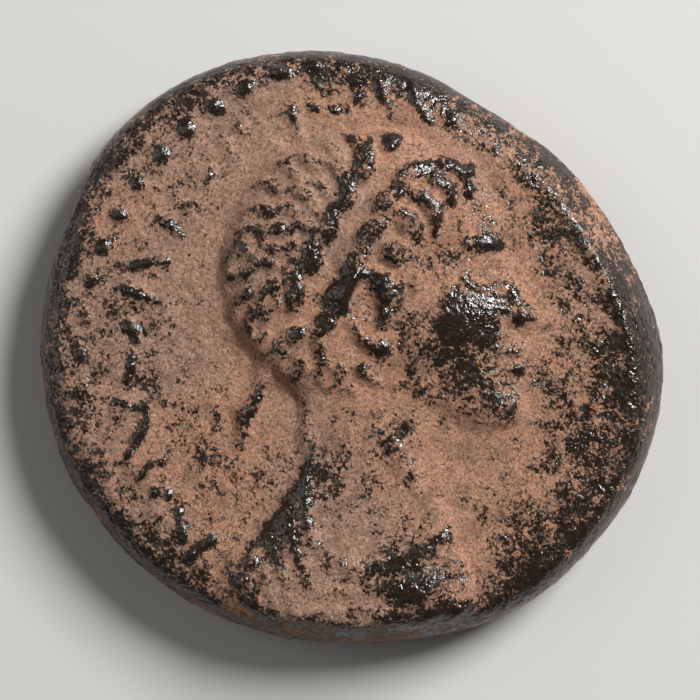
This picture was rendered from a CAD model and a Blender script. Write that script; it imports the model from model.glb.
"""A thick Roman bronze coin lying with its head side up: one struck piece under a worn, sandy patina.

The forms are worked out in millimetres on the flan, x to the right and y to the top of the head
side, and go into the mesh in metres. Forms of the face and hair are in heads: u forward of the
ear hole, v above the chin. An oval is given as its middle, its long and short reach and its turn
in degrees, and a form as an oval and its height.
"""
import math

import bmesh
import bpy
import numpy as np
from bpy.props import FloatProperty, FloatVectorProperty, IntProperty, PointerProperty
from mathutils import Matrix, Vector, noise


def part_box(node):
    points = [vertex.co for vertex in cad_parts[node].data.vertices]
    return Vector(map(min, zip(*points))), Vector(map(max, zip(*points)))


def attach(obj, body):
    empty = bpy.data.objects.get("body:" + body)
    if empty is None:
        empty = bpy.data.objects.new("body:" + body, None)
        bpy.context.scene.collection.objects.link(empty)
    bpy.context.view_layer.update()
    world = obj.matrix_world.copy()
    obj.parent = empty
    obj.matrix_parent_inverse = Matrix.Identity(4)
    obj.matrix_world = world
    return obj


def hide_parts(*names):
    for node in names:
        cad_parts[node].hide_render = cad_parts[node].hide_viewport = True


bl_info = {
    "name": "Struck bronze coin",
    "version": (1, 0, 0),
    "blender": (4, 5, 0),
    "location": "3D View > Sidebar > Coin",
    "description": "Makes a worn ancient bronze coin with a laurelled head and an earthy patina",
    "category": "Add Mesh",
}

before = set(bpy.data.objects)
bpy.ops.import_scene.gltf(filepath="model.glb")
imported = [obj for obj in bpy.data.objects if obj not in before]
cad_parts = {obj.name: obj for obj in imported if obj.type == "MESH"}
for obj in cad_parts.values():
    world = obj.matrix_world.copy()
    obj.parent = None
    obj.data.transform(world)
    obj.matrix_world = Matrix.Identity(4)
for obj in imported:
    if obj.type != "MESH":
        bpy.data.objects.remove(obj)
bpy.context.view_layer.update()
COIN_LOW, COIN_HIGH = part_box("coin")
MM = 0.001

# ---------------------------------------------------------------- sizes of the flan, in millimetres

# The flan's radius every 20 degrees, counter-clockwise from +X.
FLAN_RADII = (
    12.45, 11.65, 11.25, 10.95, 11.45, 12.0, 12.5, 12.7, 12.4,
    12.4, 12.4, 12.2, 12.1, 11.9, 11.95, 12.4, 12.55, 12.7,
)
BACK_FIELD = 0.42
FIELD = 3.15
WAIST = 1.75
FIELD_CROWN = 0.12
FIELD_LEAN = (0.014, -0.008)
ROLL_WIDTH = {"top": 1.1, "bottom": 0.95}
EDGE_WAVER = {"width": 0.16, "waist": 0.13}
# Waves round the flan that the edge wavers with: share, waves in a turn, and start in degrees.
WIDTH_WAVES = ((1, 2, 40), (0.6, 5, 110))
WAIST_WAVES = ((1, 3, -60),)
SLOPED_EDGE = {"middle": 28, "spread": 60, "share": 0.75}
EDGE_LIP = {"middle": 22, "spread": 46, "inset": 1.5, "width": 0.55, "rise": 0.12}
RELIEF_TOP = 1.5
RELIEF_KNEE = 0.2
MEAN_RADIUS = 12
# How a form swells inward from its outline: rounder the lower.
ROUNDNESS = 0.62
# Rings of the lattice after its first cut.
FIRST_RINGS = 8

# ---------------------------------------------------------------- forms of the head side

HEAD_HEIGHT = 12.4
EAR_HOLE = (0.95, 1.15)
EAR_ABOVE_CHIN = 0.42
HEAD_TILT = math.radians(8)
SKULL = {"u": -0.01, "v": 0.585, "back": 0.455, "crown": 0.437, "from": 238, "to": 50, "points": 10}
HEAD_SWELL = {"rise": 0.78, "width": 3.0}
FACE_FADE = 0.5
HAIR_FADE = {"past_skull": 0.25, "over": 0.4, "reach": 0.6}
FACE_LINE = (
    (0.375, 0.865), (0.425, 0.76), (0.448, 0.655), (0.452, 0.59), (0.44, 0.535), (0.48, 0.455),
    (0.528, 0.372), (0.538, 0.338), (0.505, 0.312), (0.462, 0.298), (0.474, 0.252),
    (0.462, 0.222), (0.466, 0.186), (0.434, 0.14), (0.444, 0.085), (0.425, 0.03), (0.375, 0),
    (0.3, 0.012), (0.2, 0.055), (0.1, 0.1), (-0.05, 0.16), (-0.2, 0.19),
)
HAIRLINE = (
    (0.4, 0.86), (0.335, 0.8), (0.265, 0.7), (0.185, 0.63), (0.13, 0.56), (0.11, 0.44),
    (0.07, 0.42), (0.03, 0.52), (-0.06, 0.5), (-0.085, 0.36), (-0.05, 0.24), (-0.1, 0.14),
    (-0.5, 0.1), (-0.7, 0.7), (-0.2, 1.2), (0.35, 1.1),
)
FACE_FORMS = {
    "cheek": (0.25, 0.39, 0.2, 0.16, -20, 0.26),
    "brow": (0.375, 0.605, 0.13, 0.045, -6, 0.24),
    "eye socket": (0.38, 0.52, 0.1, 0.07, -8, -0.36),
    "eye": (0.37, 0.51, 0.055, 0.038, -6, 0.32),
    "wing of the nose": (0.462, 0.345, 0.042, 0.036, 0, 0.24),
    "fold behind the wing": (0.41, 0.345, 0.026, 0.06, 20, -0.2),
    "side of the nose": (0.458, 0.43, 0.042, 0.11, 24, 0.18),
    "upper lip": (0.44, 0.247, 0.06, 0.024, 8, 0.22),
    "lower lip": (0.435, 0.192, 0.055, 0.026, -10, 0.22),
    "parting of the lips": (0.42, 0.221, 0.065, 0.014, 0, -0.22),
    "corner of the mouth": (0.365, 0.217, 0.026, 0.035, 0, -0.14),
    "hollow under the lip": (0.42, 0.138, 0.055, 0.024, -10, -0.14),
    "chin": (0.395, 0.07, 0.075, 0.065, 0, 0.22),
    "jaw": (0.14, 0.13, 0.2, 0.07, -24, 0.16),
    "hollow of the cheek": (0.27, 0.23, 0.1, 0.09, 0, -0.1),
    "temple": (0.27, 0.63, 0.07, 0.06, 0, -0.12),
}
EYELIDS = (
    (((0.3, 0.5), (0.332, 0.54), (0.375, 0.553), (0.422, 0.53)), 0.018, 0.2),
    (((0.312, 0.485), (0.352, 0.463), (0.405, 0.475)), 0.015, 0.12),
)
EYELID_SHARPNESS = 1.5
EAR_RIM = (
    (0.045, 0.475), (0.035, 0.53), (-0.005, 0.56), (-0.055, 0.545), (-0.085, 0.495),
    (-0.08, 0.43), (-0.055, 0.37), (-0.02, 0.325), (0.015, 0.315),
)
EAR_INNER_RIM = ((0.005, 0.515), (-0.035, 0.5), (-0.045, 0.44), (-0.02, 0.385))
EAR_RIM_SIZE = {"root": 0.023, "tip": 0.025, "rise": 0.3}
EAR_INNER_SIZE = {"root": 0.016, "tip": 0.016, "rise": 0.2}
EAR_BOWL = (-0.012, 0.44, 0.08, 0.13, 12, 0.14)
EAR_FLAP = (0.03, 0.43, 0.022, 0.035, 0, 0.28)
EAR_LOBE = (0.005, 0.325, 0.032, 0.035, 0, 0.28)
EAR_WELL = (-0.005, 0.43, 0.03, 0.045, 0, 0.1)
EAR_OUTLINE = (-0.012, 0.44, 0.11, 0.15, 12)
BUST_LINE = (
    (-1.9, 0.4), (-2, -2), (-1.7, -3.6), (-2.3, -5.2), (-3.6, -7.2), (-5, -9.1), (-3.9, -10.9),
    (-1.2, -11.9), (2, -12), (4.6, -11), (4.9, -9.3), (4.2, -7.4), (3.6, -5.6), (3.6, -4),
    (4.3, -2.6), (3.5, 0.2),
)
NECKLINE = (
    (-1.2, -3.4), (-1.5, -5.4), (-1.3, -7.2), (0, -8.4), (1.9, -8.3), (3.3, -7.3), (4.8, -6.3),
)
CLOAK_REST = ((6.2, -9), (5, -13), (-4, -13), (-7, -9.5), (-2.6, -3.2))
BUST_SWELL = {"rise": 0.46, "width": 2.2}
NECK_CORD = (0.03, -0.06, 0.3, 0.06, -66, 0.13)
CLOAK = {"rise": 0.15, "hem": 0.4}
CLOAK_FOLDS = {
    "width": 1.0, "start": 0.35, "rise": 0.11, "unevenness": 0.2, "wave_x": 1.3, "wave_y": -0.7,
}
CLOAK_FRONT = (2.3, -9.8, 2.1, 1.7, 0, 0.2)
BUST_FADES = {"cord": 0.8, "cloak": 0.35, "front": 0.5}
WREATH_LINE = (
    (-0.235, 0.42), (-0.175, 0.52), (-0.1, 0.63), (-0.01, 0.745), (0.08, 0.86), (0.195, 0.95),
)
RIBBONS = (
    ((-0.27, 0.41), (-0.36, 0.34), (-0.39, 0.25), (-0.46, 0.15), (-0.47, 0.08)),
    ((-0.25, 0.38), (-0.28, 0.28), (-0.245, 0.18), (-0.27, 0.06), (-0.25, 0)),
)
RIBBON = {"root": 0.3, "tip": 0.46, "rise": 0.38, "sinks_by": 0.8, "sinks_from": 0.6, "over": 0.4}
KNOT = {"place": (-0.255, 0.395), "size": (0.6, 0.45, 40), "rise": 0.55}
HAIR_CAP = {"rise": 0.1, "fade": 0.35}
# Ranks of locks behind the wreath, standing out from the skull and falling back.
SKULL_LOCKS = {
    "counts": (15, 13, 11, 8), "from": 74, "round": 162, "inset": 0.075, "apart": 0.08,
    "heading": -8, "length": 0.1, "curl": 95,
}
# Ranks between the wreath and the hairline, curling forward over the brow.
BROW_LOCKS = {
    "counts": (6, 5, 4), "stagger": 0.4, "u": 0.33, "v": 0.94, "apart": (-0.085, -0.06), "spread": 0.04,
    "down": (-0.225, -0.345), "bow": 1.1, "heading": (-8, -30), "length": 0.12, "curl": -95, "thick": 1.4,
}
# Ranks on the nape, hanging down and curling forward.
NAPE_LOCKS = {
    "counts": (5, 4), "place": (-0.315, 0.335), "next": (0.062, -0.02), "apart": (0.02, -0.085),
    "heading": -105, "length": 0.095, "curl": 70,
}
LOCK_CHANCE = {
    "place": 0.007, "turn": 10, "length": (0.8, 1.2), "thick": (0.85, 1.2), "strength": (0.65, 1.05),
}
LOCK_SIZE = {"root": 0.3, "tip": 0.13, "sinks_by": 0.3, "reach": 1.5}
# Each leaf of the wreath stands off its middle line, turned outward, with its middle further on.
LEAF_STAND = {"off": 0.62, "turn": 20, "ahead": 0.65}
LEAF = {"taper": 0.35, "at_tips": 0.75, "groove": 0.22, "groove_width": 0.28}
STRIKE = (1.8, -0.8)
BEAD_RING = {"radius": 12.55, "first": 72, "last": 212, "step": 6.6, "size": 0.42}
BEAD_FADE = {"boldest": 128, "bold": 22, "over": 48, "by": 0.85}
STROKE_RING = {"radius": 10.6, "first": 54, "last": 236, "step": 7.4, "width": 0.19, "reach": 1.5}
STROKE_TILTS = (6, -42, 62, -14, 34)
STROKE_LENGTHS = (1.6, 1.1, 1.75, 0.75, 1.4)
STROKE_FLARE = 1.15
STROKE_DIPS = {"by": 0.22, "often": 7}
BEAD_CHANCE = {"strength": (0.7, 1.1), "size": (0.75, 1.15), "slim": (0.7, 1)}
STROKE_CHANCE = {
    "place": 0.7, "turn": 8, "length": (0.8, 1.1), "bend": 0.1,
    "strength": (0.55, 1.15), "width": (0.8, 1.2),
}

# ---------------------------------------------------------------- forms of the lower face

BACK_WREATH = {
    "ring": 7.5, "branch": 0.35, "branch_rise": 0.2, "leaves": 9, "from": 16, "round": 156,
    "row_apart": 0.6, "spread": 28, "length": 1.45, "width": 0.66,
}
BACK_LEAF_CHANCE = {"turn": 4, "size": (0.88, 1.04), "rise": (0.46, 0.6)}
BACK_TIE = {"long": 1.1, "wide": 0.8, "rise": 0.5}
BACK_BEADS = {"x": -0.7, "y": 0.4, "ring": 10.9, "count": 44, "size": 0.5, "rise": 0.22}
BACK_BOSS = {"radius": 2.0, "rise": 0.62}
BACK_ROWS = ((3.7, 4), (-3.7, 4))
BACK_STROKE = {"step": 1.7, "length": 1.5, "width": 0.3, "rise": 0.28, "lean": 0.12, "reach": 1.3}

# ---------------------------------------------------------------- wear, earth and bared bronze

# Rounds of evening out, and how much standing out of what is left then bares a form.
EVENED_NEAR = {"rounds": 30, "share": 1.5}
EVENED_FAR = {"rounds": 260, "share": 0.55}
# Sizes of the chance lumps in millimetres, and how far up their pattern each is read.
COARSE_LUMPS = {"size": 2.2, "up": 0}
FINE_LUMPS = {"size": 0.45, "up": 9}
CRUST_LUMPS = {"size": 1.1, "up": 4}
# What each cause adds to how bare a place is. At 0 earth covers it, and at 1 it is all bronze.
BARE_START = 0.11
BARE_BY_STANDING_OUT = 2.0
BARE_BY_LUMPS = 0.16
BARE_BACK = 0.1
BARE_RIM = {"amount": 0.66, "less_on_slope": 0.32, "inset": 0.3, "fade": 1.45}
BARE_LIP = {"amount": 0.34, "width": 0.7}
BARE_OUTWARD = {"amount": 0.1, "from": 7, "over": 4}
BARE_EDGE = {"lumps": 0.3, "amount": -0.16, "width": 0.45}
BARE_FORMS = {"beads": 1.5, "strokes": 1.7, "wreath": 0.25}
BAREST = {"knee": 0.62, "over": 0.22}
PATCH_FADE = 1.25
HOLLOW = {"level": 0.5, "by": 2.2}
# Earth lies where a place is less bare than this, fully so from that much below.
EARTH = {"below": 0.7, "over": 0.3}
# Heights of the crust in millimetres.
CRUST = {"fine": 0.035, "lumps": 0.03, "in_hollows": 0.045, "hollow": 0.12, "on_bronze": 0.008}
CRUST_AT_EDGE = 0.35
EDGE_LUMPS = {"coarse": 0.05, "fine": 0.035}

# Patches that handling or burial has bared more or less on the head side: oval, and how much.
BARED = {
    "large patch": (4.8, 0.5, 2.4, 3.0, -18, 0.74),
    "below the ear": (3.3, -0.9, 2.0, 1.5, 0, 0.38),
    "under the large patch": (5.4, -1.8, 2.6, 0.9, -14, 0.2),
    "sandy spot": (6.5, -2.5, 1.1, 0.9, 0, -0.42),
    "over the ear": (0.1, 2.2, 2.5, 1.5, 26, 0.66),
    "ear": (1.5, 0.5, 1.6, 2.1, 0, 0.4),
    "before the wreath": (3.2, 3.7, 2.3, 1.6, -20, 0.36),
    "under the front locks": (5.2, 4.1, 1.9, 1.0, 24, 0.25),
    "right of the head": (8.6, 1.9, 1.4, 1.6, -20, 0.32),
    "lower right of the head": (7.0, -1.4, 1.6, 1.2, -30, 0.4),
    "nape and shoulder": (-2.4, -6.0, 3.7, 2.1, 58, 0.64),
    "left of the neck": (-5.4, -5.0, 1.6, 2.0, 0, 0.32),
    "neck": (1.5, -3.4, 1.6, 1.2, 20, 0.38),
    "front of the cloak": (2.0, -8.8, 2.3, 2.1, -30, 0.7),
    "low folds": (-1.4, -10.5, 4.4, 1.4, 0, -0.5),
    "lowest rim": (4.4, -11.0, 2.0, 1.2, 20, 0.6),
    "hair at the back": (-2.0, 3.6, 2.6, 3.6, 10, 0.22),
    "front locks": (4.6, 6.0, 3.4, 2.2, -50, 0.32),
    "left field": (-8.6, -0.2, 3.0, 5.6, 0, 0.23),
    "lower left field": (-6.4, -7.6, 5.2, 1.8, -45, 0.3),
    "left rim": (-11.2, 3.2, 4.4, 1.2, 90, 0.1),
    "top rim": (0.8, 11.2, 5.4, 1.8, -10, 0.7),
    "right rim": (11.4, -0.5, 5.6, 2.1, 95, 0.64),
    "upper right": (7.6, 4.4, 3.6, 1.7, -60, 0.32),
    "right field": (9.4, -2.6, 2.8, 4.6, 10, 0.42),
    "lower right": (8.2, -7.8, 5.0, 3.2, 48, 0.54),
    "under the chin": (4.6, -4.4, 2.4, 1.5, 0, -0.16),
    "channel behind the head": (-4.9, 1.4, 1.2, 5.0, 10, -0.25),
    "top of the field": (-1.6, 8.4, 4.0, 1.0, 8, -0.1),
    "crown": (-1.4, 7.2, 2.2, 1.3, 20, -0.3),
}

# ---------------------------------------------------------------- stage, in metres

FLOOR_HALF = 0.6
# Spots to the millimetre, detail and roughness.
FLOOR_CLOUDS = (0.02, 3.0, 0.5)
FLOOR_DARKER = 0.97
KEY_LIGHT = {"place": (0.16, 0.14, 0.18), "size": 0.13}
FILL_LIGHT = {"place": (-0.22, 0.05, 0.2), "size": 0.2}
ROOM = {"colour": (1, 0.96, 0.91, 1), "strength": 0.1}
CAMERA = {"lens": 200, "sensor_width": 36, "clip_start": 0.01}
# How far the camera stands off the coin's middle, in millimetres.
CAMERA_OFF = (-0.08, -0.12)


# ---------------------------------------------------------------- shapes worked out over many places

def clamp01(t):
    return np.clip(t, 0.0, 1.0)


def smooth01(t):
    t = clamp01(t)
    return t * t * (3 - 2 * t)


def bell(t):
    """1 in the middle and 0 past the rim, level at both."""
    return (1 - clamp01(np.abs(t)) ** 2) ** 2


def dome(t):
    return np.sqrt(1 - clamp01(np.abs(t)) ** 2)


def rise(distance, width):
    """The swelling of a form inward from its outline."""
    return (1 - (1 - clamp01(distance / width)) ** 2) ** ROUNDNESS


def smooth_line(points, closed=False, per_span=4):
    """A Catmull-Rom line through points."""
    p = np.array(points, float)
    count = len(p)
    line = []
    for i in range(count if closed else count - 1):
        if closed:
            a, b, c, d = p[i - 1], p[i], p[(i + 1) % count], p[(i + 2) % count]
        else:
            a, b, c, d = p[max(i - 1, 0)], p[i], p[i + 1], p[min(i + 2, count - 1)]
        for t in np.arange(per_span) / per_span:
            line.append(b + 0.5 * t * (c - a + t * (2 * a - 5 * b + 4 * c - d + t * (3 * (b - c) + d - a))))
    return np.array(line if closed else line + [p[-1]])


def span_distance(x, y, a, b):
    """Distance from places to the span between two points, and how far along it they are."""
    ex, ey = b[0] - a[0], b[1] - a[1]
    along = clamp01(((x - a[0]) * ex + (y - a[1]) * ey) / (ex * ex + ey * ey + 1e-12))
    return np.hypot(x - a[0] - along * ex, y - a[1] - along * ey), along


def inside_distance(x, y, outline):
    """Distance to a closed outline, positive inside."""
    nearest = np.full(x.shape, np.inf)
    inside = np.zeros(x.shape, bool)
    for a, b in zip(outline, np.roll(outline, -1, axis=0)):
        nearest = np.minimum(nearest, span_distance(x, y, a, b)[0])
        if a[1] != b[1]:
            across = (b[0] - a[0]) * (y - a[1]) / (b[1] - a[1]) + a[0]
            inside ^= ((a[1] > y) != (b[1] > y)) & (x < across)
    return np.where(inside, nearest, -nearest)


def ridge(x, y, line, root, tip):
    """A ridge along an open line: 1 on it, 0 past its half width; and how far along it is."""
    nearest = np.full(x.shape, np.inf)
    share = np.zeros(x.shape)
    for i in range(len(line) - 1):
        distance, along = span_distance(x, y, line[i], line[i + 1])
        here = (i + along) / (len(line) - 1)
        relative = distance / (root + (tip - root) * here)
        share = np.where(relative < nearest, here, share)
        nearest = np.minimum(nearest, relative)
    return 1 - clamp01(nearest) ** 2, share


def ellipse(x, y, cx, cy, reach, width, turn=0.0):
    """Distance from the middle of a turned ellipse, 1 on its rim."""
    c, s = math.cos(math.radians(turn)), math.sin(math.radians(turn))
    dx, dy = x - cx, y - cy
    return np.hypot((dx * c + dy * s) / reach, (-dx * s + dy * c) / width)


def leaf(x, y, at, angle, length, width):
    """A pointed leaf along an angle in radians: 1 at its fullest, with a groove down its middle."""
    dx, dy = x - at[0], y - at[1]
    along = (dx * math.cos(angle) + dy * math.sin(angle)) / length
    across = (-dx * math.sin(angle) + dy * math.cos(angle)) / width
    edge = (1 - along * along) * (1 - LEAF["taper"] * along)
    body = np.sqrt(clamp01(1 - (across / np.maximum(edge, 1e-3)) ** 2)) * (np.abs(along) < 1)
    full = LEAF["at_tips"] + (1 - LEAF["at_tips"]) * clamp01(edge)
    groove = LEAF["groove"] * bell(across / LEAF["groove_width"])
    return np.where(body > 0, body * full - groove, 0)


def dome_form(x, y, form):
    *oval, amount = form
    return amount * dome(ellipse(x, y, *oval))


def bell_form(x, y, form):
    *oval, amount = form
    return amount * bell(ellipse(x, y, *oval))


def stamp(height, x, y, at, reach, form):
    """Raises the places within reach of a point to the height that form gives there."""
    near = np.flatnonzero((np.abs(x - at[0]) < reach) & (np.abs(y - at[1]) < reach))
    height[near] = np.maximum(height[near], form(x[near], y[near]))


def to_head(x, y):
    dx, dy = x - EAR_HOLE[0], y - EAR_HOLE[1]
    c, s = math.cos(HEAD_TILT), math.sin(HEAD_TILT)
    return (dx * c + dy * s) / HEAD_HEIGHT, (-dx * s + dy * c) / HEAD_HEIGHT + EAR_ABOVE_CHIN


def from_head(point):
    du, dv = point[0] * HEAD_HEIGHT, (point[1] - EAR_ABOVE_CHIN) * HEAD_HEIGHT
    c, s = math.cos(HEAD_TILT), math.sin(HEAD_TILT)
    return (EAR_HOLE[0] + du * c - dv * s, EAR_HOLE[1] + du * s + dv * c)


# ---------------------------------------------------------------- hair, wreath and ribbons

def lock(u, v, heading, length, curl, steps=6):
    """A lock's line from its root, heading one way in degrees and curling as it goes."""
    line = [from_head((u, v))]
    for i in range(1, steps + 1):
        turn = math.radians(heading + curl * i / steps)
        u += length / steps * math.cos(turn)
        v += length / steps * math.sin(turn)
        line.append(from_head((u, v)))
    return line


def all_locks(clear):
    """Every lock's line, its thickness and its strength; none lies near the wreath."""
    chance = np.random.default_rng(41)
    locks = []

    def add(u, v, heading, length, curl, thick=1.0):
        u, v = np.array((u, v)) + chance.normal(0, LOCK_CHANCE["place"], 2)
        turned = heading + chance.normal(0, LOCK_CHANCE["turn"])
        line = lock(u, v, turned, length * chance.uniform(*LOCK_CHANCE["length"]), curl)
        thick *= chance.uniform(*LOCK_CHANCE["thick"])
        locks.append((line, thick, chance.uniform(*LOCK_CHANCE["strength"])))

    form = SKULL_LOCKS
    for rank, count in enumerate(form["counts"]):
        for i in range(count):
            angle = form["from"] + form["round"] * (i + 0.5 * (rank % 2)) / (count - 0.5)
            inset = form["inset"] + form["apart"] * rank
            u = SKULL["u"] + (SKULL["back"] - inset) * math.cos(math.radians(angle))
            v = SKULL["v"] + (SKULL["crown"] - inset) * math.sin(math.radians(angle))
            add(u, v, angle + form["heading"], form["length"], form["curl"])
    form = BROW_LOCKS
    for rank, count in enumerate(form["counts"]):
        for i in range(count):
            down = (i + form["stagger"] * (rank % 2)) / (count - 1 + form["stagger"])
            u = form["u"] + form["apart"][0] * rank + form["spread"] * rank * down + form["down"][0] * down
            v = form["v"] + form["apart"][1] * rank + form["down"][1] * down ** form["bow"]
            heading = form["heading"][0] + form["heading"][1] * down
            add(u, v, heading, form["length"], form["curl"], form["thick"])
    form = NAPE_LOCKS
    for rank, count in enumerate(form["counts"]):
        for i in range(count):
            u, v = (form["place"][k] + form["next"][k] * i + form["apart"][k] * rank for k in (0, 1))
            add(u, v, form["heading"], form["length"], form["curl"])
    middle = smooth_line([from_head(p) for p in WREATH_LINE])
    spots = np.array([line[3] for line, _, _ in locks])
    near = ridge(spots[:, 0], spots[:, 1], middle, clear, clear)[0] > 0
    return [one for one, hidden in zip(locks, near) if not hidden]


def wreath_leaves(sizes):
    """Place and angle of each leaf: pairs along the wreath, pointing forward and outward."""
    line = smooth_line([from_head(p) for p in WREATH_LINE], per_span=12)
    walked = np.r_[0, np.cumsum(np.hypot(*np.diff(line, axis=0).T))]
    leaves = []
    for i in range(sizes.leaf_pairs):
        for side in (-1, 1):
            reach = (i + (0.5 if side > 0 else 0)) / sizes.leaf_pairs * walked[-1]
            place = np.array([np.interp(reach, walked, line[:, k]) for k in (0, 1)])
            ahead = np.array([np.interp(reach + 0.1, walked, line[:, k]) for k in (0, 1)])
            behind = np.array([np.interp(reach - 0.1, walked, line[:, k]) for k in (0, 1)])
            way = math.atan2(*(ahead - behind)[::-1])
            angle = way + side * math.radians(LEAF_STAND["turn"])
            off = side * LEAF_STAND["off"]
            at = place + off * np.array((-math.sin(way), math.cos(way)))
            at = at + LEAF_STAND["ahead"] * np.array((math.cos(angle), math.sin(angle)))
            leaves.append((at, angle))
    return leaves


def wreath(x, y, sizes):
    """Height of the wreath's leaves over the hair."""
    height = np.zeros_like(x)
    length, width, rise_by = sizes.leaf_length / MM, sizes.leaf_width / MM, sizes.leaf_rise / MM
    for at, angle in wreath_leaves(sizes):
        stamp(height, x, y, at, length, lambda px, py: rise_by * leaf(px, py, at, angle, length, width))
    return height


def hair_and_wreath(x, y, sizes):
    """Height of the hair, its locks and the wreath over the skull."""
    outline = smooth_line([from_head(p) for p in HAIRLINE], closed=True)
    cap = HAIR_CAP["rise"] * smooth01(inside_distance(x, y, outline) / HAIR_CAP["fade"])
    relief = np.zeros_like(x)
    for line, thick, strength in all_locks(sizes.wreath_clear / MM):
        def form(px, py):
            body, share = ridge(px, py, line, LOCK_SIZE["root"] * thick, LOCK_SIZE["tip"] * thick)
            full = sizes.lock_rise / MM * strength * math.sqrt(thick)
            return full * np.sqrt(body) * (1 - LOCK_SIZE["sinks_by"] * share)
        stamp(relief, x, y, line[3], LOCK_SIZE["reach"], form)
    return cap + np.maximum(relief, wreath(x, y, sizes))


# ---------------------------------------------------------------- the head side

def face(u, v):
    height = np.zeros_like(u)
    for form in FACE_FORMS.values():
        height += bell_form(u, v, form)
    for points, width, amount in EYELIDS:
        height += amount * ridge(u, v, smooth_line(points), width, width)[0] ** EYELID_SHARPNESS
    return height


def ear(u, v):
    size = EAR_RIM_SIZE
    rim = size["rise"] * np.sqrt(ridge(u, v, smooth_line(EAR_RIM), size["root"], size["tip"])[0])
    size = EAR_INNER_SIZE
    inner = size["rise"] * ridge(u, v, smooth_line(EAR_INNER_RIM), size["root"], size["tip"])[0]
    parts = [rim, inner, bell_form(u, v, EAR_BOWL), dome_form(u, v, EAR_FLAP), dome_form(u, v, EAR_LOBE)]
    height = np.maximum.reduce(parts) - bell_form(u, v, EAR_WELL)
    return np.where(ellipse(u, v, *EAR_OUTLINE) < 1, height, 0)


def bust(x, y, u, v):
    depth = inside_distance(x, y, smooth_line(BUST_LINE, closed=True, per_span=5))
    height = BUST_SWELL["rise"] * rise(depth, BUST_SWELL["width"])
    height += bell_form(u, v, NECK_CORD) * smooth01(depth / BUST_FADES["cord"])
    neckline = smooth_line(NECKLINE, per_span=5)
    cloth = inside_distance(x, y, np.vstack([neckline, CLOAK_REST]))
    from_neck = np.full(x.shape, np.inf)
    for a, b in zip(neckline[:-1], neckline[1:]):
        from_neck = np.minimum(from_neck, span_distance(x, y, a, b)[0])
    folds = CLOAK_FOLDS
    wave = np.sin(folds["wave_x"] * x + folds["wave_y"] * y)
    crossing = from_neck * (1 + folds["unevenness"] * wave) / folds["width"]
    fold = 0.5 + 0.5 * np.cos(2 * math.pi * (crossing - folds["start"]))
    cloak = (CLOAK["rise"] + folds["rise"] * fold) * rise(cloth, CLOAK["hem"])
    height += cloak * smooth01(depth / BUST_FADES["cloak"])
    height += bell_form(x, y, CLOAK_FRONT) * smooth01(depth / BUST_FADES["front"]) * (cloth > 0)
    return np.where(depth > 0, height, 0)


def ring_place(ring, turn):
    """A place on a ring round the middle of the strike, at a turn in degrees."""
    way = math.radians(turn)
    return STRIKE[0] + ring["radius"] * math.cos(way), STRIKE[1] + ring["radius"] * math.sin(way)


def beads(x, y, sizes):
    """The border's beads, boldest at the upper left."""
    chance = np.random.default_rng(19)
    height = np.zeros_like(x)
    for turn in np.arange(BEAD_RING["first"], BEAD_RING["last"], BEAD_RING["step"]):
        at = ring_place(BEAD_RING, turn)
        from_boldest = (abs(turn - BEAD_FADE["boldest"]) - BEAD_FADE["bold"]) / BEAD_FADE["over"]
        strength = sizes.bead_rise / MM * (1 - BEAD_FADE["by"] * float(smooth01(from_boldest)))
        strength *= chance.uniform(*BEAD_CHANCE["strength"])
        size = BEAD_RING["size"] * chance.uniform(*BEAD_CHANCE["size"])
        slim, lean = chance.uniform(*BEAD_CHANCE["slim"]), chance.uniform(0, 180)
        form = (*at, size, size * slim, lean, strength)
        stamp(height, x, y, at, size, lambda px, py: dome_form(px, py, form))
    return height


def strokes(x, y, sizes):
    """A row of worn strokes inside the beads."""
    chance = np.random.default_rng(23)
    height = np.zeros_like(x)
    for index, turn in enumerate(np.arange(STROKE_RING["first"], STROKE_RING["last"], STROKE_RING["step"])):
        at = ring_place(STROKE_RING, turn + chance.normal(0, STROKE_CHANCE["place"]))
        tilt = STROKE_TILTS[index % len(STROKE_TILTS)]
        way = math.radians(turn + tilt + chance.normal(0, STROKE_CHANCE["turn"]))
        full = STROKE_LENGTHS[3 * index % len(STROKE_LENGTHS)]
        half = full / 2 * chance.uniform(*STROKE_CHANCE["length"])
        bend = chance.normal(0, STROKE_CHANCE["bend"])
        line = [
            (at[0] + t * math.cos(way) - b * math.sin(way), at[1] + t * math.sin(way) + b * math.cos(way))
            for t, b in ((-half, 0), (0, bend), (half, 0))
        ]
        strength = sizes.stroke_rise / MM * chance.uniform(*STROKE_CHANCE["strength"])
        width = STROKE_RING["width"] * chance.uniform(*STROKE_CHANCE["width"])
        worn = chance.uniform(0, 2 * math.pi)

        def form(px, py):
            body, share = ridge(px, py, line, width, width * STROKE_FLARE)
            dips = STROKE_DIPS["by"] * np.sin(STROKE_DIPS["often"] * share + worn)
            return strength * np.sqrt(body) * (1 - STROKE_DIPS["by"] + dips)
        stamp(height, x, y, at, STROKE_RING["reach"], form)
    return height


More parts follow.
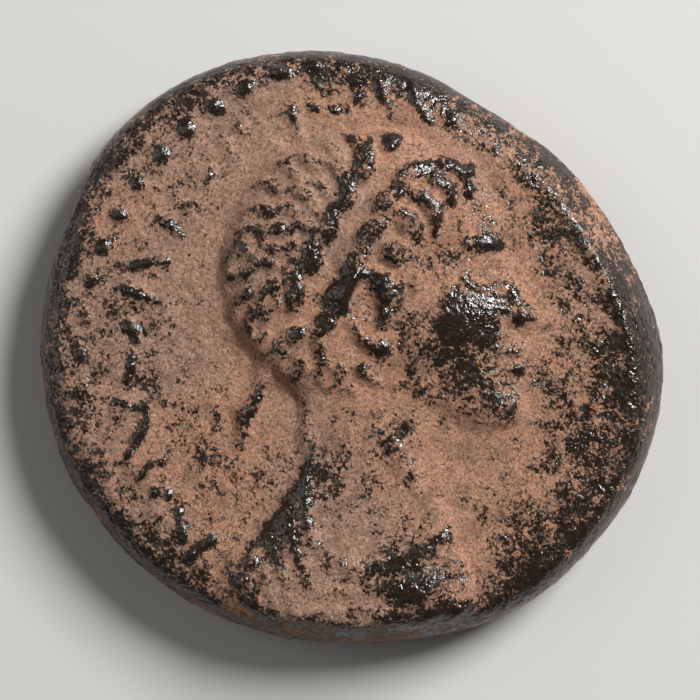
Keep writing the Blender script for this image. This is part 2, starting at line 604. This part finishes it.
def struck_head(x, y, sizes):
    """Sharp relief of the head side over its field, before wear."""
    u, v = to_head(x, y)
    skull_turns = np.radians(np.linspace(SKULL["from"], SKULL["to"], SKULL["points"]))
    skull = [
        (SKULL["u"] + SKULL["back"] * math.cos(t), SKULL["v"] + SKULL["crown"] * math.sin(t))
        for t in skull_turns
    ]
    outline = smooth_line([from_head(p) for p in list(FACE_LINE) + skull], closed=True)
    depth = inside_distance(x, y, outline)
    swell = HEAD_SWELL["rise"] * rise(depth, HEAD_SWELL["width"])
    head = swell + (face(u, v) + ear(u, v)) * smooth01(depth / FACE_FADE)
    hair = hair_and_wreath(x, y, sizes)
    head += hair * smooth01((depth + HAIR_FADE["past_skull"]) / HAIR_FADE["over"])
    height = np.maximum(np.where(depth > -HAIR_FADE["reach"], head, 0), bust(x, y, u, v))
    for points in RIBBONS:
        line = smooth_line([from_head(p) for p in points])
        body, along = ridge(x, y, line, RIBBON["root"], RIBBON["tip"])
        sinking = RIBBON["sinks_by"] * smooth01((along - RIBBON["sinks_from"]) / RIBBON["over"])
        band = RIBBON["rise"] * np.sqrt(body) * (1 - sinking)
        height = np.maximum(height, np.where(body > 0, swell + band, 0))
    tie = dome(ellipse(x, y, *from_head(KNOT["place"]), *KNOT["size"]))
    height = np.maximum(height, np.where(tie > 0, swell + KNOT["rise"] * tie, 0))
    return np.maximum.reduce([height, beads(x, y, sizes), strokes(x, y, sizes)])


# ---------------------------------------------------------------- the lower face

def struck_back(x, y):
    """Sharp relief of the plain lower face over its field, before wear."""
    chance = np.random.default_rng(31)
    form = BACK_WREATH
    radius = np.hypot(x, y)
    boss = BACK_BOSS["rise"] * dome(radius / BACK_BOSS["radius"])
    branch = form["branch_rise"] * bell((radius - form["ring"]) / form["branch"])
    height = np.maximum(branch, boss)
    length, width = form["length"], form["width"]
    for side in (-1, 1):
        for i in range(form["leaves"]):
            for row in (-1, 1):
                along = form["from"] + form["round"] * (i + 0.25 * (row + 1)) / form["leaves"]
                turn = -90 + side * along
                ring = form["ring"] + row * length * form["row_apart"]
                at = (ring * math.cos(math.radians(turn)), ring * math.sin(math.radians(turn)))
                heading = turn + side * (90 - row * form["spread"])
                angle = math.radians(heading + chance.normal(0, BACK_LEAF_CHANCE["turn"]))
                size = chance.uniform(*BACK_LEAF_CHANCE["size"])
                amount = chance.uniform(*BACK_LEAF_CHANCE["rise"])
                stamp(
                    height, x, y, at, length,
                    lambda px, py: amount * leaf(px, py, at, angle, length * size, width * size),
                )
    tie = (0, -form["ring"], BACK_TIE["long"], BACK_TIE["wide"], 0, BACK_TIE["rise"])
    height = np.maximum(height, dome_form(x, y, tie))
    form = BACK_BEADS
    for i in range(form["count"]):
        turn = 2 * math.pi * i / form["count"]
        at = (form["x"] + form["ring"] * math.cos(turn), form["y"] + form["ring"] * math.sin(turn))
        bead = (*at, form["size"], form["size"], 0, form["rise"])
        stamp(height, x, y, at, form["size"], lambda px, py: dome_form(px, py, bead))
    form = BACK_STROKE
    for row_y, count in BACK_ROWS:
        for i in range(count):
            cx = (i - (count - 1) / 2) * form["step"]
            lean, half = form["lean"] * (i % 3 - 1), form["length"] / 2
            line = ((cx - lean, row_y - half), (cx + lean, row_y + half))

            def stroke(px, py):
                return form["rise"] * np.sqrt(ridge(px, py, line, form["width"], form["width"])[0])
            stamp(height, x, y, (cx, row_y), form["reach"], stroke)
    return height


# ---------------------------------------------------------------- the flan

def round_the_flan(values, turn):
    """A smooth value at each turn in degrees, through values set evenly round the flan."""
    values = np.array(values)
    place = (turn / 360 % 1) * len(values)
    i = np.floor(place).astype(int)
    t = place - i
    a, b, c, d = (values[(i + k) % len(values)] for k in (-1, 0, 1, 2))
    return b + 0.5 * t * (c - a + t * (2 * a - 5 * b + 4 * c - d + t * (3 * (b - c) + d - a)))


def turns_off(turn, stretch):
    """How far round the flan a turn is from the middle of a stretch, 1 where the stretch ends."""
    return np.abs((turn - stretch["middle"] + 540) % 360 - 180) / stretch["spread"]


def waves(turn, parts):
    return sum(share * np.sin(np.radians(often * turn + start)) for share, often, start in parts)


def lay_out(side, share, turn):
    """Plane place and fall from the field of each place of a face, from middle (0) to waist (1)."""
    width = ROLL_WIDTH[side] + EDGE_WAVER["width"] * waves(turn, WIDTH_WAVES)
    waist = WAIST + EDGE_WAVER["waist"] * waves(turn, WAIST_WAVES)
    fall = FIELD - waist if side == "top" else waist - BACK_FIELD
    flan = round_the_flan(FLAN_RADII, turn)
    flat = flan - width
    roll = 0.5 * math.pi * np.sqrt((width ** 2 + fall ** 2) / 2)
    walked = share * (flat + roll)
    bend = clamp01((walked - flat) / roll)
    slope = SLOPED_EDGE["share"] * bell(turns_off(turn, SLOPED_EDGE)) if side == "top" else 0
    out = np.sin(0.5 * math.pi * bend)
    down = 1 - np.cos(0.5 * math.pi * bend)
    radius = np.where(bend > 0, flat + width * (out + slope * (bend - out)), walked)
    drop = fall * (down + slope * (bend - down))
    x, y = radius * np.cos(np.radians(turn)), radius * np.sin(np.radians(turn))
    return x, y, drop, radius, flan, smooth01((flan - radius) / width)


def lump(x, y, z, lumps, octaves=3):
    """Smooth chance lumps of about one size, from about -1 to 1."""
    points = np.column_stack([x, y, z + lumps["up"]]) / lumps["size"]
    return np.array([noise.fractal(Vector(p), 0.9, 2.0, octaves) for p in points])


class Neighbours:
    """Means over a mesh's joined points, which is how wear and earth even out its forms."""

    def __init__(self, mesh):
        edges = np.empty(len(mesh.edges) * 2, np.int64)
        mesh.edges.foreach_get("vertices", edges)
        a, b = edges[0::2], edges[1::2]
        self.to = np.concatenate([a, b])
        self.source = np.concatenate([b, a])
        self.count = np.bincount(self.to, minlength=len(mesh.vertices))

    def ease(self, values, rounds):
        for _ in range(rounds):
            mean = np.bincount(self.to, values[self.source], len(self.count)) / self.count
            values = 0.5 * values + 0.5 * mean
        return values


def flan_mesh(rings):
    """A closed six-sided lattice: each face is a fan of six triangles cut evenly into rings."""
    mesh = bpy.data.meshes.new("coin_struck")
    bm = bmesh.new()
    bmesh.ops.create_circle(bm, cap_ends=True, cap_tris=True, segments=6, radius=1)
    for cuts in (FIRST_RINGS - 1, rings // FIRST_RINGS - 1):
        bmesh.ops.subdivide_edges(bm, edges=bm.edges[:], cuts=cuts, use_grid_fill=True)
    bmesh.ops.reverse_faces(bm, faces=bm.faces[:])
    upper = bmesh.ops.duplicate(bm, geom=bm.verts[:] + bm.edges[:] + bm.faces[:])["geom"]
    bmesh.ops.reverse_faces(bm, faces=[g for g in upper if isinstance(g, bmesh.types.BMFace)])
    inner = [g for g in upper if isinstance(g, bmesh.types.BMVert) and not g.is_boundary]
    bmesh.ops.translate(bm, verts=inner, vec=(0, 0, 1))
    bmesh.ops.remove_doubles(bm, verts=[v for v in bm.verts if v.is_boundary], dist=1e-5)
    bm.to_mesh(mesh)
    bm.free()
    return mesh


def lattice_places(mesh):
    """Which points are on top, and each point's share from middle to rim and turn in degrees."""
    co = np.empty(len(mesh.vertices) * 3)
    mesh.vertices.foreach_get("co", co)
    x, y, z = co.reshape(-1, 3).T
    sector_turn = np.degrees(np.arctan2(y, x)) - 30
    sector = np.floor(sector_turn / 60)
    a0, a1 = np.radians(30 + 60 * sector), np.radians(90 + 60 * sector)
    first = (x * np.sin(a1) - y * np.cos(a1)) / math.sin(math.radians(60))
    second = (y * np.cos(a0) - x * np.sin(a0)) / math.sin(math.radians(60))
    share = clamp01(first + second)
    turn = 30 + 60 * (sector + second / np.maximum(share, 1e-9))
    return z > 0.5, share, turn % 360


def bared(x, y, top, turn, rim, proud, coarse, sizes):
    """How bare of earth each place is, from 0 under full earth to 1 and over on bronze."""
    bare = BARE_START + BARE_BY_STANDING_OUT * proud + BARE_BY_LUMPS * coarse
    patches = np.zeros(len(x))
    for *oval, amount in BARED.values():
        patches += amount * smooth01(PATCH_FADE * (1 - ellipse(x, y, *oval)))
    sloped = np.where(top, bell(turns_off(turn, SLOPED_EDGE)), 0)
    worn = np.where(top, patches, BARE_BACK)
    at_rim = 1 - smooth01((rim - BARE_RIM["inset"]) / BARE_RIM["fade"])
    worn += (BARE_RIM["amount"] - BARE_RIM["less_on_slope"] * sloped) * at_rim
    at_lip = bell((rim - EDGE_LIP["inset"]) / BARE_LIP["width"])
    outward = smooth01((np.hypot(x, y) - BARE_OUTWARD["from"]) / BARE_OUTWARD["over"])
    worn += BARE_LIP["amount"] * sloped * at_lip + BARE_OUTWARD["amount"] * outward
    at_edge = 1 - smooth01(rim / BARE_EDGE["width"])
    worn += (BARE_EDGE["lumps"] * coarse + BARE_EDGE["amount"]) * at_edge
    # Specks of earth stay in the barest patches too.
    barest = (worn - BAREST["knee"]) / BAREST["over"]
    bare += np.where(barest > 0, BAREST["knee"] + BAREST["over"] * np.tanh(barest), worn)
    forms = BARE_FORMS["beads"] * beads(x, y, sizes) + BARE_FORMS["strokes"] * strokes(x, y, sizes)
    forms = forms + BARE_FORMS["wreath"] * wreath(x, y, sizes)
    return bare + np.where(top, forms, 0)


def strike(mesh, sizes):
    """Moves the lattice's points to the coin's form and stores how bare and how deep each one is."""
    top, share, turn = lattice_places(mesh)
    neighbours = Neighbours(mesh)
    metal = np.zeros(len(share))
    x, y, base, inner, rim = (np.zeros(len(share)) for _ in range(5))
    for side, on in (("top", top), ("bottom", ~top)):
        px, py, drop, radius, flan, level = lay_out(side, share[on], turn[on])
        x[on], y[on], inner[on], rim[on] = px, py, level, flan - radius
        if side == "top":
            across = (flan - radius - EDGE_LIP["inset"]) / EDGE_LIP["width"]
            lip = EDGE_LIP["rise"] * bell(across) * bell(turns_off(turn[on], EDGE_LIP))
            crown = FIELD_CROWN * (1 - (radius / flan) ** 2)
            lean = (FIELD_LEAN[0] * px + FIELD_LEAN[1] * py) * level
            base[on] = FIELD - drop + crown + lean + lip
            metal[on] = struck_head(px, py, sizes)
        else:
            base[on] = BACK_FIELD + drop
            metal[on] = struck_back(px, py)
    metal *= inner

    # Wear rounds the forms and levels the highest.
    metal = neighbours.ease(metal, sizes.wear_rounds)
    over = (metal - RELIEF_TOP + RELIEF_KNEE) / RELIEF_KNEE
    metal = np.where(over > 0, RELIEF_TOP - RELIEF_KNEE * (1 - np.tanh(over)), metal)

    # Earth fills the hollows: what stands out of an evened-out copy of the relief is bare.
    z = np.where(top, base + metal, base - metal)
    near = neighbours.ease(metal, EVENED_NEAR["rounds"])
    far = neighbours.ease(metal, EVENED_FAR["rounds"])
    proud = EVENED_NEAR["share"] * (metal - near) + EVENED_FAR["share"] * (metal - far)
    coarse = lump(x, y, z, COARSE_LUMPS)
    fine = lump(x, y, z, FINE_LUMPS)
    bare = bared(x, y, top, turn, rim, proud, coarse, sizes)
    hollow = clamp01(HOLLOW["level"] - HOLLOW["by"] * proud)
    earth = clamp01((EARTH["below"] - bare) / EARTH["over"])
    crust = earth * (CRUST["fine"] * fine + CRUST["lumps"] * lump(x, y, z, CRUST_LUMPS))
    crust = crust + CRUST["in_hollows"] * clamp01(-proud / CRUST["hollow"]) * earth
    crust += (1 - earth) * CRUST["on_bronze"] * fine
    z = z + np.where(top, 1, -1) * crust * (CRUST_AT_EDGE + (1 - CRUST_AT_EDGE) * inner)
    edge_lumps = (1 - inner) * (EDGE_LUMPS["coarse"] * coarse + EDGE_LUMPS["fine"] * fine)
    x, y = x * (1 + edge_lumps / MEAN_RADIUS), y * (1 + edge_lumps / MEAN_RADIUS)

    # The coin lies on the worn tops of its lower face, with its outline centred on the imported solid.
    middle = (COIN_LOW + COIN_HIGH) / 2
    x += middle.x / MM - (x.min() + x.max()) / 2
    y += middle.y / MM - (y.min() + y.max()) / 2
    z = np.maximum(z, 0) + COIN_LOW.z / MM
    mesh.vertices.foreach_set("co", (np.column_stack([x, y, z]) * MM).ravel())
    for name, values in (("bare", bare), ("hollow", hollow)):
        mesh.attributes.new(name, "FLOAT", "POINT").data.foreach_set("value", values)
    mesh.shade_smooth()
    mesh.update()


# ---------------------------------------------------------------- materials

class Nodes:
    """Short calls for the nodes of one material."""

    def __init__(self, name):
        self.material = bpy.data.materials.new(name)
        self.material.use_nodes = True
        self.tree = self.material.node_tree
        self.shader = self.tree.nodes["Principled BSDF"]

    def add(self, kind, **inputs):
        node = self.tree.nodes.new(kind)
        for name, value in inputs.items():
            self.put(node.inputs[name.replace("_", " ")], value)
        return node

    def put(self, socket, value):
        if isinstance(value, bpy.types.NodeSocket):
            self.tree.links.new(value, socket)
        else:
            socket.default_value = value

    def math(self, operation, a, b):
        node = self.tree.nodes.new("ShaderNodeMath")
        node.operation = operation
        self.put(node.inputs[0], a)
        self.put(node.inputs[1], b)
        return node.outputs[0]

    def stored(self, name):
        node = self.tree.nodes.new("ShaderNodeAttribute")
        node.attribute_name = name
        return node.outputs["Fac"]

    def ramp01(self, value, low, high):
        node = self.tree.nodes.new("ShaderNodeMapRange")
        node.interpolation_type = "SMOOTHSTEP"
        for socket, number in zip(node.inputs, (value, low, high)):
            self.put(socket, number)
        return node.outputs[0]

    def mix(self, share, a, b):
        node = self.tree.nodes.new("ShaderNodeMix")
        node.data_type = "RGBA"
        for socket, value in zip((node.inputs[0], node.inputs[6], node.inputs[7]), (share, a, b)):
            self.put(socket, value)
        return node.outputs[2]

    def noise(self, place, scale, detail, roughness, offset=(0, 0, 0)):
        """Chance pattern with about scale spots to the millimetre."""
        moved = self.tree.nodes.new("ShaderNodeMapping")
        self.put(moved.inputs["Vector"], place)
        moved.inputs["Location"].default_value = [c * 10 for c in offset]
        moved.inputs["Rotation"].default_value = PATTERN_TURN
        moved.inputs["Scale"].default_value = [scale / MM] * 3
        node = self.add("ShaderNodeTexNoise", Vector=moved.outputs[0], Scale=1.0)
        self.put(node.inputs["Detail"], detail)
        self.put(node.inputs["Roughness"], roughness)
        return node.outputs["Fac"]


# Every pattern is turned off the coin's axes, so that its own grid doesn't show.
PATTERN_TURN = (0.5, 0.8, 1.1)
# Chance patterns of the patina: spots to the millimetre, detail, roughness, and start of the pattern.
PATTERNS = {
    "spots": (1.5, 8.0, 0.75, (0, 0, 0)),
    "specks": (7.0, 5.0, 0.75, (3, 1, 2)),
    "pale parts": (0.16, 3.0, 0.5, (5, 2, 0)),
    "olive mottle": (1.6, 6.0, 0.7, (3, 8, 1)),
    "pale grains": (8.0, 3.0, 0.85, (7, 2, 8)),
    "dark grains": (7.0, 4.0, 0.9, (1, 7, 3)),
    "stains": (0.9, 7.0, 0.75, (4, 6, 9)),
    "flecks": (3.2, 5.0, 0.7, (2, 9, 4)),
    "dust": (4.5, 5.0, 0.7, (8, 1, 6)),
    "dull spots": (1.8, 6.0, 0.75, (4, 4, 1)),
    "grit": (9.0, 4.0, 0.8, (6, 3, 5)),
    "dents": (4.0, 2.0, 0.5, (9, 9, 1)),
}
# How far each pattern moves the border between earth and bronze.
RAGGED_BY = {"spots": 3.8, "specks": 3.4}
# Between these levels the bronze comes through, and before it a thin, dark film of earth.
BRONZE_LEVELS = (0.50, 0.57)
FILM_LEVELS = (0.3, 0.56)
PALE_LEVELS = (0.42, 0.62)
PALE_TO_THE_LEFT = 0.012
# Tints laid over the sand in turn: pattern, the levels it comes in between, share and colour.
TINTS = (
    ("olive mottle", 0.50, 0.60, 0.5, "olive_earth"),
    ("pale grains", 0.53, 0.59, 0.78, "grains"),
    ("dark grains", 0.51, 0.56, 0.78, "brown_earth"),
    ("stains", 0.48, 0.62, 0.42, "brown_earth"),
    ("flecks", 0.60, 0.70, 0.5, "rusty_earth"),
)
HOLLOW_TINT = 0.08
DUST = {"levels": (0.52, 0.72), "share": 0.25}
EARTH_ROUGHNESS = 0.93
BRONZE_ROUGHNESS = {"least": 0.14, "more": 0.21, "levels": (0.44, 0.60)}
# Heights in millimetres.
GRIT_HEIGHT = 0.09
EARTH_HEIGHT = 0.02
DENT_DEPTH = 0.1
DENTS_UNDER_EARTH = 0.25


def patina_material(finish):
    """Sandy earth over nearly black bronze, which shows where wear has bared it."""
    n = Nodes("patinated_bronze")
    place = n.add("ShaderNodeTexCoord").outputs["Object"]
    bare, hollow = n.stored("bare"), n.stored("hollow")

    def chance(name):
        return n.noise(place, *PATTERNS[name])

    def colour(name):
        return getattr(finish, name)[:] + (1,)

    # Ragged spots: the bared share of each place against a chance pattern.
    level = bare
    for name, by in RAGGED_BY.items():
        shift = n.math("MULTIPLY", n.math("SUBTRACT", chance(name), 0.5), by * finish.ragged)
        level = n.math("ADD", level, shift)
    metal = n.ramp01(level, *BRONZE_LEVELS)
    film = n.ramp01(level, *FILM_LEVELS)

    # Earth: pinkish sand, paler and greyer to the left, with a fine grain and rusty flecks.
    split = n.add("ShaderNodeSeparateXYZ", Vector=place)
    across = n.math("MULTIPLY", split.outputs["X"], -PALE_TO_THE_LEFT / MM)
    pale = n.ramp01(n.math("ADD", chance("pale parts"), across), *PALE_LEVELS)
    earth = n.mix(pale, colour("earth"), colour("pale_earth"))
    for name, low, high, share, tint in TINTS:
        strength = n.math("MULTIPLY", n.ramp01(chance(name), low, high), share)
        earth = n.mix(strength, earth, colour(tint))
    earth = n.mix(n.math("MULTIPLY", hollow, HOLLOW_TINT), earth, colour("brown_earth"))
    thin = n.mix(film, earth, colour("brown_earth"))
    dust = n.math("MULTIPLY", n.ramp01(chance("dust"), *DUST["levels"]), DUST["share"])
    bronze = n.mix(dust, colour("bronze"), colour("brown_earth"))
    n.put(n.shader.inputs["Base Color"], n.mix(metal, thin, bronze))

    dull = n.ramp01(chance("dull spots"), *BRONZE_ROUGHNESS["levels"])
    gloss = n.math("ADD", BRONZE_ROUGHNESS["least"], n.math("MULTIPLY", dull, BRONZE_ROUGHNESS["more"]))
    rough = n.tree.nodes.new("ShaderNodeMix")
    for index, value in ((0, metal), (2, EARTH_ROUGHNESS), (3, gloss)):
        n.put(rough.inputs[index], value)
    n.put(n.shader.inputs["Roughness"], rough.outputs[0])
    n.shader.inputs["Metallic"].default_value = 0.0
    n.shader.inputs["IOR"].default_value = 1.6

    # Gritty earth lies thicker than the smooth, dented bronze.
    grit = n.math("MULTIPLY", chance("grit"), GRIT_HEIGHT)
    cover = n.math("SUBTRACT", 1.0, metal)
    height = n.math("MULTIPLY", n.math("ADD", grit, EARTH_HEIGHT), cover)
    dents = n.math("MULTIPLY", chance("dents"), DENT_DEPTH)
    dented = n.math("ADD", DENTS_UNDER_EARTH, n.math("MULTIPLY", metal, 1 - DENTS_UNDER_EARTH))
    height = n.math("ADD", height, n.math("MULTIPLY", dents, dented))
    bump = n.add("ShaderNodeBump", Strength=1.0, Distance=MM, Height=height)
    n.put(n.shader.inputs["Normal"], bump.outputs[0])
    return n.material


def floor_material(stage):
    n = Nodes("pale_floor")
    place = n.add("ShaderNodeTexCoord").outputs["Object"]
    cloudy = n.noise(place, *FLOOR_CLOUDS)
    darker = [c * FLOOR_DARKER for c in stage.floor_colour] + [1]
    n.put(n.shader.inputs["Base Color"], n.mix(cloudy, darker, stage.floor_colour[:] + (1,)))
    n.shader.inputs["Roughness"].default_value = 0.85
    return n.material


# ---------------------------------------------------------------- settings

class CoinRelief(bpy.types.PropertyGroup):
    """Sizes of the struck forms"""
    rings: IntProperty(
        name="Rings", description="Rings of points from middle to rim, a multiple of 8",
        default=128, min=16, max=128,
    )
    lock_rise: FloatProperty(
        name="Lock rise", description="Height of a lock of hair",
        default=0.34 * MM, unit="LENGTH", precision=5,
    )
    leaf_pairs: IntProperty(
        name="Leaf pairs", description="Pairs of leaves along the wreath",
        default=6, min=2, max=12,
    )
    leaf_length: FloatProperty(
        name="Leaf length", description="Half the length of a leaf",
        default=1.08 * MM, unit="LENGTH", precision=5,
    )
    leaf_width: FloatProperty(
        name="Leaf width", description="Half the width of a leaf",
        default=0.5 * MM, unit="LENGTH", precision=5,
    )
    leaf_rise: FloatProperty(
        name="Leaf rise", description="Height of a leaf over the hair",
        default=0.42 * MM, unit="LENGTH", precision=5,
    )
    wreath_clear: FloatProperty(
        name="Clear of wreath", description="Hair kept this far from the wreath",
        default=1.35 * MM, unit="LENGTH", precision=5,
    )
    bead_rise: FloatProperty(
        name="Bead rise", description="Height of a border bead",
        default=0.3 * MM, unit="LENGTH", precision=5,
    )
    stroke_rise: FloatProperty(
        name="Stroke rise", description="Height of a stroke",
        default=0.26 * MM, unit="LENGTH", precision=5,
    )
    wear_rounds: IntProperty(
        name="Wear", description="How many times the forms are evened out",
        default=3, min=0, max=60,
    )


class CoinFinish(bpy.types.PropertyGroup):
    """Colours of the patina"""
    earth: FloatVectorProperty(
        name="Earth", description="Pinkish sand",
        default=(0.51, 0.245, 0.14), subtype="COLOR",
    )
    pale_earth: FloatVectorProperty(
        name="Pale earth", description="Greyer sand",
        default=(0.44, 0.25, 0.168), subtype="COLOR",
    )
    brown_earth: FloatVectorProperty(
        name="Brown earth", description="Thin, dark film of earth",
        default=(0.12, 0.065, 0.04), subtype="COLOR",
    )
    rusty_earth: FloatVectorProperty(
        name="Rusty earth", description="Flecks in the sand",
        default=(0.23, 0.10, 0.055), subtype="COLOR",
    )
    olive_earth: FloatVectorProperty(
        name="Olive earth", description="Duller sand in patches",
        default=(0.34, 0.22, 0.14), subtype="COLOR",
    )
    grains: FloatVectorProperty(
        name="Grains", description="Pale grains in the sand",
        default=(0.64, 0.42, 0.31), subtype="COLOR",
    )
    bronze: FloatVectorProperty(
        name="Bronze", description="Bared metal",
        default=(0.014, 0.0075, 0.004), subtype="COLOR",
    )
    ragged: FloatProperty(
        name="Ragged", description="How ragged the bared patches are",
        default=1.0, min=0, max=3,
    )


class CoinStage(bpy.types.PropertyGroup):
    """Floor, light and camera"""
    floor_colour: FloatVectorProperty(
        name="Floor", description="Pale floor",
        default=(0.62, 0.61, 0.59), subtype="COLOR",
    )
    key_power: FloatProperty(
        name="Key light", description="Power of the main light",
        default=1.16, unit="POWER",
    )
    fill_power: FloatProperty(
        name="Fill light", description="Power of the weak light",
        default=0.13, unit="POWER",
    )
    view_width: FloatProperty(
        name="View width", description="Width of floor in view",
        default=28.04 * MM, unit="LENGTH", precision=5,
    )


# ---------------------------------------------------------------- operators

class COIN_OT_make_coin(bpy.types.Operator):
    """Makes the struck coin with its relief and patina"""
    bl_idname = "coin.make_coin"
    bl_label = "Make coin"

    def execute(self, context):
        relief, finish = context.scene.coin_relief, context.scene.coin_finish
        mesh = flan_mesh(relief.rings)
        strike(mesh, relief)
        mesh.materials.append(patina_material(finish))
        coin = bpy.data.objects.new("coin_struck", mesh)
        context.scene.collection.objects.link(coin)
        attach(coin, "root")
        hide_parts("coin")
        return {"FINISHED"}


class COIN_OT_make_stage(bpy.types.Operator):
    """Makes the pale floor, the soft lights and the camera over the coin"""
    bl_idname = "coin.make_stage"
    bl_label = "Make stage"

    def execute(self, context):
        stage = context.scene.coin_stage
        mesh = bpy.data.meshes.new("floor")
        bm = bmesh.new()
        bmesh.ops.create_grid(bm, x_segments=1, y_segments=1, size=FLOOR_HALF)
        bm.to_mesh(mesh)
        bm.free()
        mesh.materials.append(floor_material(stage))
        floor = bpy.data.objects.new("floor", mesh)
        context.scene.collection.objects.link(floor)
        self.add_light(context, "key", KEY_LIGHT, stage.key_power)
        self.add_light(context, "fill", FILL_LIGHT, stage.fill_power)
        self.add_world(context)
        self.add_camera(context, stage)
        return {"FINISHED"}

    def add_light(self, context, name, form, power):
        data = bpy.data.lights.new(name, "AREA")
        data.shape = "DISK"
        data.size = form["size"]
        data.energy = power
        light = bpy.data.objects.new(name, data)
        light.location = form["place"]
        light.rotation_euler = Vector(form["place"]).to_track_quat("Z", "Y").to_euler()
        context.scene.collection.objects.link(light)

    def add_world(self, context):
        world = bpy.data.worlds.new("soft_room")
        world.use_nodes = True
        background = world.node_tree.nodes["Background"]
        background.inputs["Color"].default_value = ROOM["colour"]
        background.inputs["Strength"].default_value = ROOM["strength"]
        context.scene.world = world

    def add_camera(self, context, stage):
        data = bpy.data.cameras.new("camera")
        for key, value in CAMERA.items():
            setattr(data, key, value)
        camera = bpy.data.objects.new("camera", data)
        off = Vector(CAMERA_OFF) * MM
        height = WAIST * MM + stage.view_width * data.lens / data.sensor_width
        camera.location = (off.x, off.y, height)
        context.scene.collection.objects.link(camera)
        context.scene.camera = camera
        context.scene.view_settings.view_transform = "Standard"


class COIN_PT_panel(bpy.types.Panel):
    """Lists the coin's steps and settings"""
    bl_idname = "COIN_PT_panel"
    bl_label = "Coin"
    bl_space_type = "VIEW_3D"
    bl_region_type = "UI"
    bl_category = "Coin"

    def draw(self, context):
        for operator in (COIN_OT_make_stage, COIN_OT_make_coin):
            self.layout.operator(operator.bl_idname)
        for name in ("coin_relief", "coin_finish", "coin_stage"):
            settings = getattr(context.scene, name)
            box = self.layout.box()
            for key in settings.bl_rna.properties.keys():
                if key not in ("rna_type", "name"):
                    box.prop(settings, key)


CLASSES = (CoinRelief, CoinFinish, CoinStage, COIN_OT_make_coin, COIN_OT_make_stage, COIN_PT_panel)
SETTINGS = {"coin_relief": CoinRelief, "coin_finish": CoinFinish, "coin_stage": CoinStage}


def register():
    for cls in CLASSES:
        bpy.utils.register_class(cls)
    for name, cls in SETTINGS.items():
        setattr(bpy.types.Scene, name, PointerProperty(type=cls))


def unregister():
    for name in SETTINGS:
        delattr(bpy.types.Scene, name)
    for cls in reversed(CLASSES):
        bpy.utils.unregister_class(cls)


def main():
    register()
    bpy.ops.coin.make_stage()
    bpy.ops.coin.make_coin()


if __name__ == "__main__":
    main()
